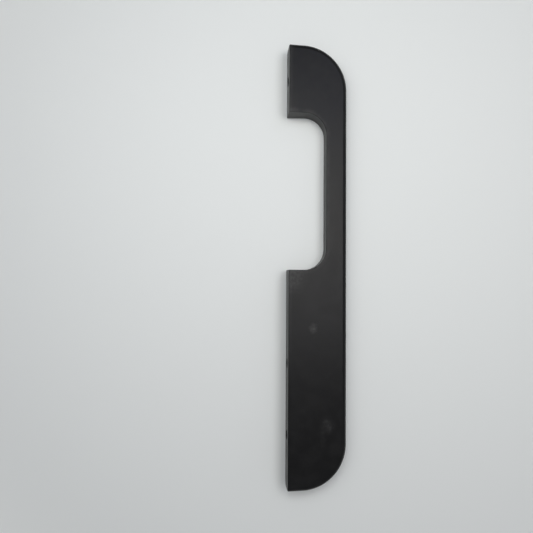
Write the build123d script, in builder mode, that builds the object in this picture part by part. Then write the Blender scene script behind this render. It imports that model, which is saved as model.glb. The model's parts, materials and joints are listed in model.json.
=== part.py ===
from build123d import *
import os
from math import atan2, cos, degrees, radians, sin, tan

# Cabinet door handle, cast in one piece. Its two sides taper towards the front. It lies on one of them,
# with +X from the mounting face to the front, +Y along the bar to the short leg and +Z up.
# The origin is under the middle of the handle. Sizes are in millimetres and degrees.

# Overall form
length = 200
depth = 26.7
base_thickness = 10.5
front_thickness = 5.7

# Finger gap, open to the mounting face, between the short leg and the long one
short_leg = 31.2
gap_length = 70.8
grip_depth = 9.6
gap_radius = 9.7

# Rounds of the two ends, of the front edges, of the foot's edges and of the gap's rims
end_radius = 19.8
nose_radius = 2.1
foot_radius = 0.5
edge_break = 0.3

# Blind tapped holes: one in the short leg and two in the long leg, for two screw distances.
# Each is as wide as its thread down to the last turn, and as wide as the tap drill below that.
hole_inset = 16
near_centres = 128
far_centres = 160
thread_size = 4
thread_depth = 10
tap_drill = 3.3
drill_depth = 12.5
drill_angle = 118
mouth_break = 0.3

# The taper of each side, and how far nose and foot reach along X when the handle lies on one side
taper = atan2((base_thickness - front_thickness) / 2, depth)
nose_depth = depth - nose_radius
nose_height = base_thickness / 2 - nose_depth * tan(taper) - nose_radius / cos(taper)
nose_reach = nose_depth * cos(taper) + nose_height * sin(taper) + nose_radius
foot_height = base_thickness / 2 - foot_radius * tan(taper) - foot_radius / cos(taper)
foot_reach = foot_radius - foot_radius * cos(taper) + foot_height * sin(taper)

# Planes through the middle of the mounting face: along the bar, across it, and facing out of the face
mid_origin = ((foot_reach - nose_reach) / 2, 0, base_thickness / 2 * cos(taper))
mid_plane = Plane(mid_origin).rotated((0, degrees(taper), 0))
cross_plane = Plane(mid_plane.origin, x_dir=mid_plane.x_dir, z_dir=-mid_plane.y_dir)
mount_plane = Plane(mid_plane.origin, x_dir=mid_plane.y_dir, z_dir=-mid_plane.x_dir)
depth_axis = Axis(mid_plane.origin, mid_plane.x_dir)
across_axis = Axis(mid_plane.origin, mid_plane.z_dir)

with BuildPart() as handle:
    # Blank: a bar with both front corners rounded, tapered from the mounting face to the front
    with BuildSketch(mid_plane) as blank:
        with Locations((depth / 2, 0)):
            Rectangle(depth, length)
        fillet(blank.vertices().group_by(Axis.X)[-1], end_radius)
    extrude(amount=base_thickness / 2, both=True)
    with BuildSketch(cross_plane):
        with BuildLine():
            Polyline(
                (0, -base_thickness / 2),
                (depth, -front_thickness / 2),
                (depth, front_thickness / 2),
                (0, base_thickness / 2),
                close=True,
            )
        make_face()
    extrude(amount=length / 2, both=True, mode=Mode.INTERSECT)

    # Rounded nose: it follows the front and both ends on each side, up to the mounting face
    sides = handle.faces().sort_by(SortBy.AREA)[-2:]
    foot_edges = handle.edges().group_by(depth_axis)[0]
    fillet(sides.edges() - foot_edges, nose_radius)

    # Rounded foot, all round the mounting face
    fillet(handle.edges().group_by(depth_axis)[0], foot_radius)

    # Finger gap, with two rounded inner corners
    gap_depth = depth - grip_depth
    gap_high = length / 2 - short_leg
    gap_low = gap_high - gap_length
    with BuildSketch(mid_plane) as gap:
        with Locations((gap_depth / 2, (gap_low + gap_high) / 2)):
            Rectangle(gap_depth, gap_length)
        fillet(gap.vertices().group_by(Axis.X)[-1], gap_radius)
    extrude(amount=base_thickness / 2, both=True, mode=Mode.SUBTRACT)

    # Broken edges along the gap's rims, on both sides and across the foot of each leg
    gap_reach = (gap_low - edge_break, gap_high + edge_break)
    gap_edges = handle.edges(Select.LAST).filter_by_position(Axis.Y, *gap_reach)
    uprights = gap_edges.filter_by(across_axis)
    fillet(gap_edges - uprights + uprights.group_by(depth_axis)[0], edge_break)

    # Tapped holes, each with a drilled point at its end and a broken edge at its mouth
    point_length = tap_drill / 2 / tan(radians(drill_angle / 2))
    first_hole = length / 2 - hole_inset
    hole_places = [first_hole, first_hole - near_centres, first_hole - far_centres]
    with Locations(mount_plane):
        with Locations(*[(place, 0) for place in hole_places]):
            CounterBoreHole(tap_drill / 2, thread_size / 2, thread_depth, drill_depth)
        with Locations(*[(place, 0, -drill_depth) for place in hole_places]):
            Cone(
                bottom_radius=0,
                top_radius=tap_drill / 2,
                height=point_length,
                align=(Align.CENTER, Align.CENTER, Align.MAX),
                mode=Mode.SUBTRACT,
            )
    mouths = handle.edges().filter_by(GeomType.CIRCLE).group_by(depth_axis)[0]
    chamfer(mouths, mouth_break)

os.makedirs("parts", exist_ok=True)
handle.part.label = "door_handle"
export_step(handle.part, "parts/door_handle.step")
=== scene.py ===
import json
from math import cos, pi, radians, sin

import bmesh
import bpy
from mathutils import Matrix, Vector


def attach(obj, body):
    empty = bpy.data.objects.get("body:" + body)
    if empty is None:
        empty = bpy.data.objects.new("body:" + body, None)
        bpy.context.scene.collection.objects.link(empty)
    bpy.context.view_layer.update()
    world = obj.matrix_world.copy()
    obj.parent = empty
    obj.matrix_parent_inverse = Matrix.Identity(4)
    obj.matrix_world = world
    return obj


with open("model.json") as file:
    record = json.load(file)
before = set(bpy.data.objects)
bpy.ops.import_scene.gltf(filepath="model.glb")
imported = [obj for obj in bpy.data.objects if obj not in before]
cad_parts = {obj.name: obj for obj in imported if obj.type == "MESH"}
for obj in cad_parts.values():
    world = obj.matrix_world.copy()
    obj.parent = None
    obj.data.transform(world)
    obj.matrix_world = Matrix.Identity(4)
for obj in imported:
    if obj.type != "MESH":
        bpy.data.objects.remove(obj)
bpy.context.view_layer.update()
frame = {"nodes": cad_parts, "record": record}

MM = 0.001
MOUNTS = {mount["name"]: mount for mount in frame["record"]["mounts"]}

# The M4 thread in the screw holes, in mm: the ridge's root is sunk a little into the wall of the hole
THREAD_PITCH = 0.7
THREAD_CREST_RADIUS = 1.62
THREAD_ROOT_SINK = 0.03
THREAD_CREST_WIDTH = THREAD_PITCH / 4
THREAD_ROOT_WIDTH = THREAD_PITCH * 7 / 8
THREAD_END_MARGIN = 0.1

# Turns over which the ridge runs out at each end, the share of its size left there, and steps per turn
THREAD_RUN_OUT = 0.5
THREAD_LEAST_GROWN = 0.02
THREAD_STEPS = 40

# The finger gap, in mm: its depth from the mounting face, its ends along the bar, its corner radius,
# and how far it is taken to run on past the handle
GAP_DEPTH = 17.1
GAP_LOW = -2.0
GAP_HIGH = 68.8
GAP_RADIUS = 9.7
GAP_OPEN = 40.0

# The coat: linear colours, gloss, and the fine relief of its grain with its depth in mm
COAT_BLACK = (0.0036, 0.0036, 0.0038, 1)
# The lighter colour is used both where the coat is worn and for a painted sheen along the mounting
# face's upper edge
COAT_WEAR_AND_SHEEN = (0.046, 0.046, 0.045, 1)
COAT_ROUGHNESS = 0.35
ROUGHNESS_SPREAD = 0.03
ROUGHER_WHERE_WORN_AND_SHEEN = 0.1
COAT_SPECULAR = 0.22
COAT_IOR = 1.5
GRAIN_DEPTH = 0.02
GRAIN_STRENGTH = 0.25

# Noise over the coat: scale in cells per mm, detail, roughness
MOTTLE_NOISE = (0.16, 4.0, 0.6)
STRAY_NOISE = (0.5, 3.0, 0.5)
FLECK_NOISE = (0.8, 3.0, 0.6)
GRAIN_NOISE = (3.2, 2.0, 0.5)

# What noise does: its low and high value, and what the coat gets there
FLECK_WEAR = (0.35, 0.65, 0.45, 1.1)
MOTTLE_WEAR = (0.35, 0.8, 0, 0.1)
RIM_WEAR = (0.3, 0.65, 0.1, 0.5)
MOTTLE_GLOSS = (0.3, 0.7, COAT_ROUGHNESS - ROUGHNESS_SPREAD, COAT_ROUGHNESS + ROUGHNESS_SPREAD)

# Rubbed places on the upper side: depth and place along the bar, reach both ways, in mm, and strength
MARKS = (
    ((11.3, -28.1), (2.3, 3.0), 0.95),
    ((17.1, -70.2), (2.2, 2.2), 0.2),
    ((18.6, -72.6), (2.0, 2.8), 0.22),
    ((18.0, -71.5), (5.0, 5.5), 0.18),
    ((15.8, -77.0), (1.8, 6.0), 0.12),
    ((0.5, -5.0), (10.0, 9.0), 0.8),
    ((1.5, 69.6), (4.5, 2.0), 0.4),
)

# The share of a mark's reach that is at full strength, and how far noise moves its outline, in mm
MARK_CORE = 0.2
MARK_STRAY = (2.2, 2.2, 0)
NOISE_MIDDLE = (0.5, 0.5, 0.5)

# The upper side, in mm: its height over the middle at the mounting face, its fall per mm of depth,
# and how far below it the marks reach
BASE_HALF = 5.25
SIDE_SLOPE = 0.09
UPPER_REACH = 1.2

# Painted sheen along the upper edge of the mounting face, a lighter band standing in for the light its
# rounding
# reflects: its reach in mm, its strength, and the places along the bar, in mm, between which it grows
# towards the short leg
EDGE_SHEEN_REACH = 2.2
EDGE_PAINTED_SHEEN = 0.4
SHEEN_LOW = -60.0
SHEEN_HIGH = -15.0

# Wear along the gap's rim: its reach in mm, and the share of it that is left low on the gap's wall
RIM_REACH = 2.4
LOW_WALL_WEAR = 0.4

# Floor, and the light all round it
FLOOR_COLOUR = (0.79, 0.81, 0.795, 1)
FLOOR_ROUGHNESS = 0.7
FLOOR_HALF = 2.0
WORLD_COLOUR = (0.272, 0.277, 0.294, 1)

# Pale backdrop: where the floor starts to take its tone and has it in full, in m from the object,
# and the sine of the height up to which the sky has it in full, and from which it has none
FAR_COLOUR = (0.65, 0.665, 0.655, 1)
FAR_FROM = 0.15
FAR_FULL = 0.28
LOW_SKY = 0.19
HIGH_SKY = 0.3

# Camera at the photo's viewing angle: place in m, turn, lens and sensor in mm, nearest distance in m
CAMERA_PLACE = (-18.44 * MM, -7.86 * MM, 251.35 * MM)
CAMERA_TURN = (radians(1.72), radians(0.96), radians(0.326))
CAMERA_LENS = 36.66
CAMERA_SENSOR = 36
CAMERA_CLIP = 0.01

# Soft lamps: name, place and aim in m, width and length in m, power in W, colour
LAMPS = (
    ("overhead_middle", (0.27, 0.0, 0.60), (0, 0, 0), 0.2, 0.2, 0.51, (0.975, 0.96, 0.985)),
    ("overhead_near", (0.19, 0.10, 0.45), (0, 0, 0), 0.12, 0.2, 0.195, (1, 0.965, 0.85)),
    ("overhead_far", (0.30, 0.30, 0.60), (0, 0, 0), 0.2, 0.3, 0.36, (0.72, 0.77, 1)),
    ("above_left", (-0.05, 0.08, 0.22), (-0.03, 0.04, 0), 0.1, 0.1, 0.12, (0.95, 0.975, 1)),
    ("above_right", (0.05, 0.10, 0.30), (0.02, 0.05, 0), 0.12, 0.12, 0.16, (1, 0.98, 0.91)),
    ("broad_left", (-1.0, 0.35, 1.0), (0, 0, 0), 0.8, 0.8, 2.8, (1, 0.99, 0.96)),
)


def add(tree, kind, inputs, **settings):
    """Adds a node, gives its sockets values or links, and returns it."""
    made = tree.nodes.new(kind)
    for name, value in settings.items():
        setattr(made, name, value)
    for socket, value in inputs.items():
        if isinstance(value, bpy.types.NodeSocket):
            tree.links.new(value, made.inputs[socket])
        else:
            made.inputs[socket].default_value = value
    return made


def scalar(tree, operation, *values):
    """A math node's result."""
    return add(tree, "ShaderNodeMath", dict(enumerate(values)), operation=operation).outputs[0]


def vector(tree, operation, *values):
    """A vector math node's result: a number for a dot product or a length."""
    made = add(tree, "ShaderNodeVectorMath", dict(enumerate(values)), operation=operation)
    return made.outputs["Value" if operation in ("DOT_PRODUCT", "LENGTH") else "Vector"]


def noise(tree, place, scale, detail, roughness):
    """Noise over the object, with scale in cells per mm."""
    values = {"Vector": place, "Scale": scale, "Detail": detail, "Roughness": roughness}
    return add(tree, "ShaderNodeTexNoise", values)


def step(tree, value, low, high, to_low, to_high):
    """A smooth step from one range of values to another."""
    values = {"Value": value, "From Min": low, "From Max": high, "To Min": to_low, "To Max": to_high}
    return add(tree, "ShaderNodeMapRange", values, interpolation_type="SMOOTHSTEP").outputs[0]


def mix(tree, share, first, second):
    """A colour between two. The node's colour sockets go by number, because their names repeat."""
    values = {0: share, 6: first, 7: second}
    return add(tree, "ShaderNodeMix", values, data_type="RGBA", clamp_factor=True).outputs[2]


def own_axes(tree):
    """Places on the handle in mm: depth from the mounting face, along the bar and across it."""
    face = MOUNTS["mounting_face"]
    out = Vector(face["axis"])
    metres = add(tree, "ShaderNodeTexCoord", {}).outputs["Object"]
    place = vector(tree, "MULTIPLY", metres, (1 / MM,) * 3)
    from_face = vector(tree, "SUBTRACT", place, Vector(face["pos_m"]) / MM)
    depth = vector(tree, "DOT_PRODUCT", from_face, -out)
    across = vector(tree, "DOT_PRODUCT", from_face, (out.z, 0, -out.x))
    along = vector(tree, "DOT_PRODUCT", place, (0, 1, 0))
    own = add(tree, "ShaderNodeCombineXYZ", {0: depth, 1: along, 2: across}).outputs[0]
    return own, depth, along, across


def gap_rim(tree, own):
    """1 at the rim of the finger gap, falling to 0 a little way off."""
    half = Vector(((GAP_DEPTH + GAP_OPEN) / 2, (GAP_HIGH - GAP_LOW) / 2, GAP_OPEN))
    centre = Vector((GAP_DEPTH - half.x, (GAP_HIGH + GAP_LOW) / 2, 0))
    off = vector(tree, "ABSOLUTE", vector(tree, "SUBTRACT", own, centre))
    past = vector(tree, "SUBTRACT", off, half - Vector((GAP_RADIUS,) * 3))
    corner = vector(tree, "LENGTH", vector(tree, "MAXIMUM", past, (0, 0, 0)))
    return step(tree, corner, GAP_RADIUS, GAP_RADIUS + RIM_REACH, 1, 0)


def coat_marks_and_sheen(tree, own, depth, along, across, mottle, ragged):
    """How much lighter the coat is: worn marks, the rim of the gap, and a painted sheen along the edge
    of the mounting face.
    """
    fleck = noise(tree, own, *FLECK_NOISE).outputs[0]
    height = scalar(tree, "MULTIPLY_ADD", depth, SIDE_SLOPE, across)
    upper = step(tree, height, BASE_HALF - UPPER_REACH, BASE_HALF, 0, 1)
    flecked = scalar(tree, "MULTIPLY", step(tree, fleck, *FLECK_WEAR), upper)
    wear_and_sheen = step(tree, mottle, *MOTTLE_WEAR)
    for (mark_depth, mark_along), (reach_depth, reach_along), strength in MARKS:
        off = vector(tree, "SUBTRACT", ragged, (mark_depth, mark_along, 0))
        off = vector(tree, "MULTIPLY", off, (1 / reach_depth, 1 / reach_along, 0))
        mark = step(tree, vector(tree, "LENGTH", off), MARK_CORE, 1, strength, 0)
        wear_and_sheen = scalar(tree, "MULTIPLY_ADD", mark, flecked, wear_and_sheen)
    rim = scalar(tree, "MULTIPLY", gap_rim(tree, own), step(tree, mottle, *RIM_WEAR))
    on_wall = step(tree, height, BASE_HALF - RIM_REACH, BASE_HALF, LOW_WALL_WEAR, 1)
    rim = scalar(tree, "MULTIPLY", rim, on_wall)
    # Painted sheen: a lighter band along the upper edge of the mounting face, standing in for the light
    # its rounding reflects
    edge = scalar(tree, "MULTIPLY", upper, step(tree, depth, 0, EDGE_SHEEN_REACH, 1, 0))
    edge = scalar(tree, "MULTIPLY", edge, step(tree, along, SHEEN_LOW, SHEEN_HIGH, 0, EDGE_PAINTED_SHEEN))
    return scalar(tree, "ADD", wear_and_sheen, scalar(tree, "ADD", rim, edge))


def coat_material(material):
    """Matt powder coat: fine grain, soft mottling, faint worn places, a painted sheen by the mounting
    edge.
    """
    material.use_nodes = True
    tree = material.node_tree
    tree.nodes.clear()
    own, depth, along, across = own_axes(tree)
    mottle = noise(tree, own, *MOTTLE_NOISE).outputs[0]
    stray = noise(tree, own, *STRAY_NOISE).outputs["Color"]
    stray = vector(tree, "SUBTRACT", stray, NOISE_MIDDLE)
    ragged = vector(tree, "ADD", own, vector(tree, "MULTIPLY", stray, MARK_STRAY))
    grain = noise(tree, own, *GRAIN_NOISE).outputs[0]

    # Lighter where the coat is worn, and where a sheen is painted along the mounting face's upper edge
    wear_and_sheen = coat_marks_and_sheen(tree, own, depth, along, across, mottle, ragged)
    colour = mix(tree, wear_and_sheen, COAT_BLACK, COAT_WEAR_AND_SHEEN)
    rough = scalar(tree, "MULTIPLY_ADD", wear_and_sheen, ROUGHER_WHERE_WORN_AND_SHEEN, step(tree, mottle, *MOTTLE_GLOSS))
    relief = {"Strength": GRAIN_STRENGTH, "Distance": GRAIN_DEPTH * MM, "Height": grain}
    bump = add(tree, "ShaderNodeBump", relief).outputs[0]
    shader = add(
        tree,
        "ShaderNodeBsdfPrincipled",
        {
            "Base Color": colour,
            "Roughness": rough,
            "Normal": bump,
            "IOR": COAT_IOR,
            "Specular IOR Level": COAT_SPECULAR,
        },
    )
    add(tree, "ShaderNodeOutputMaterial", {"Surface": shader.outputs[0]})


def thread_ring(turn, turns, wall):
    """Radius and shift along the axis of the ridge's four corners; the ridge runs out at both ends."""
    grown = min(1, turn / THREAD_RUN_OUT, (turns - turn) / THREAD_RUN_OUT)
    grown = max(THREAD_LEAST_GROWN, grown)
    root = wall + THREAD_ROOT_SINK
    crest = root - (root - THREAD_CREST_RADIUS) * grown
    root_half = THREAD_ROOT_WIDTH / 2 * grown
    crest_half = THREAD_CREST_WIDTH / 2 * grown
    return (root, -root_half), (crest, -crest_half), (crest, crest_half), (root, root_half)


def thread_mesh(name, hole):
    """The ridge of the internal thread, as one closed helix along the hole."""
    wall = hole["dims"]["r_mm"]
    turns = (hole["dims"]["length_mm"] - 2 * THREAD_END_MARGIN) / THREAD_PITCH - 1
    form = bmesh.new()
    rings = []
    for count in range(int(turns * THREAD_STEPS) + 1):
        turn = count / THREAD_STEPS
        along = (turn - turns / 2) * THREAD_PITCH
        way = Vector((cos(2 * pi * turn), sin(2 * pi * turn), 0))
        corners = thread_ring(turn, turns, wall)
        places = [way * radius + Vector((0, 0, along + shift)) for radius, shift in corners]
        rings.append([form.verts.new(place * MM) for place in places])
    for first, second in zip(rings, rings[1:]):
        for corner in range(len(first)):
            after = (corner + 1) % len(first)
            form.faces.new((first[corner], first[after], second[after], second[corner]))
    form.faces.new(rings[0][::-1])
    form.faces.new(rings[-1])
    bmesh.ops.recalc_face_normals(form, faces=form.faces)
    turned = Vector(hole["axis"]).to_track_quat("Z", "Y").to_matrix().to_4x4()
    form.transform(Matrix.Translation(hole["pos_m"]) @ turned)
    mesh = bpy.data.meshes.new(name)
    form.to_mesh(mesh)
    form.free()
    return mesh


def show(name, mesh, material):
    """Puts a mesh with its material into the scene."""
    mesh.materials.append(material)
    piece = bpy.data.objects.new(name, mesh)
    bpy.context.scene.collection.objects.link(piece)
    return piece


def add_threads(material):
    """The thread of each screw hole, as a piece of its own."""
    for hole in MOUNTS.values():
        if hole["kind"] == "threaded_hole":
            name = hole["name"].replace("screw_hole", "thread")
            piece = show(name, thread_mesh(name, hole), material)
            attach(piece, "root")


def seen_rays(tree):
    """1 for what the camera sees directly, mirrored or through glass."""
    rays = add(tree, "ShaderNodeLightPath", {}).outputs
    mirrored = scalar(tree, "MAXIMUM", rays["Is Glossy Ray"], rays["Is Transmission Ray"])
    return scalar(tree, "MAXIMUM", rays["Is Camera Ray"], mirrored)


def floor_material():
    """Pale floor. Away from the object, what sees it directly or mirrored sees one even tone."""
    material = bpy.data.materials.new("pale_floor")
    material.use_nodes = True
    tree = material.node_tree
    tree.nodes.clear()
    plain = {"Base Color": FLOOR_COLOUR, "Roughness": FLOOR_ROUGHNESS}
    near = add(tree, "ShaderNodeBsdfPrincipled", plain)
    even = add(tree, "ShaderNodeEmission", {"Color": FAR_COLOUR})
    place = add(tree, "ShaderNodeTexCoord", {}).outputs["Object"]
    away = step(tree, vector(tree, "LENGTH", place), FAR_FROM, FAR_FULL, 0, 1)
    share = scalar(tree, "MULTIPLY", seen_rays(tree), away)
    surface = add(tree, "ShaderNodeMixShader", {0: share, 1: near.outputs[0], 2: even.outputs[0]})
    add(tree, "ShaderNodeOutputMaterial", {"Surface": surface.outputs[0]})
    return material


def add_floor():
    corners = [(x * FLOOR_HALF, y * FLOOR_HALF, 0) for x, y in ((-1, -1), (1, -1), (1, 1), (-1, 1))]
    mesh = bpy.data.meshes.new("floor")
    mesh.from_pydata(corners, [], [(0, 1, 2, 3)])
    show("floor", mesh, floor_material())


def add_lamps():
    for name, place, aim, width, length, power, colour in LAMPS:
        data = bpy.data.lights.new(name, "AREA")
        data.shape = "RECTANGLE"
        data.size = width
        data.size_y = length
        data.energy = power
        data.color = colour
        lamp = bpy.data.objects.new(name, data)
        lamp.location = place
        lamp.rotation_euler = (Vector(aim) - Vector(place)).to_track_quat("-Z", "Y").to_euler()
        lamp.visible_camera = False
        bpy.context.scene.collection.objects.link(lamp)


def add_world():
    """Even soft light all round. What sees its lowest part sees the far floor's tone."""
    world = bpy.data.worlds.new("studio")
    world.use_nodes = True
    tree = world.node_tree
    tree.nodes.clear()
    way = add(tree, "ShaderNodeTexCoord", {}).outputs["Generated"]
    height = vector(tree, "DOT_PRODUCT", way, (0, 0, 1))
    share = scalar(tree, "MULTIPLY", seen_rays(tree), step(tree, height, LOW_SKY, HIGH_SKY, 1, 0))
    colour = mix(tree, share, WORLD_COLOUR, FAR_COLOUR)
    light = add(tree, "ShaderNodeBackground", {"Color": colour})
    add(tree, "ShaderNodeOutputWorld", {"Surface": light.outputs[0]})
    bpy.context.scene.world = world


def add_camera():
    data = bpy.data.cameras.new("camera")
    data.lens = CAMERA_LENS
    data.sensor_width = CAMERA_SENSOR
    data.clip_start = CAMERA_CLIP
    camera = bpy.data.objects.new("camera", data)
    camera.location = CAMERA_PLACE
    camera.rotation_euler = CAMERA_TURN
    bpy.context.scene.collection.objects.link(camera)
    bpy.context.scene.camera = camera


coat = frame["nodes"]["door_handle"].material_slots[0].material
coat_material(coat)
add_threads(coat)
add_floor()
add_lamps()
add_world()
add_camera()
bpy.context.scene.view_settings.view_transform = "Standard"

bpy.context.view_layer.update()
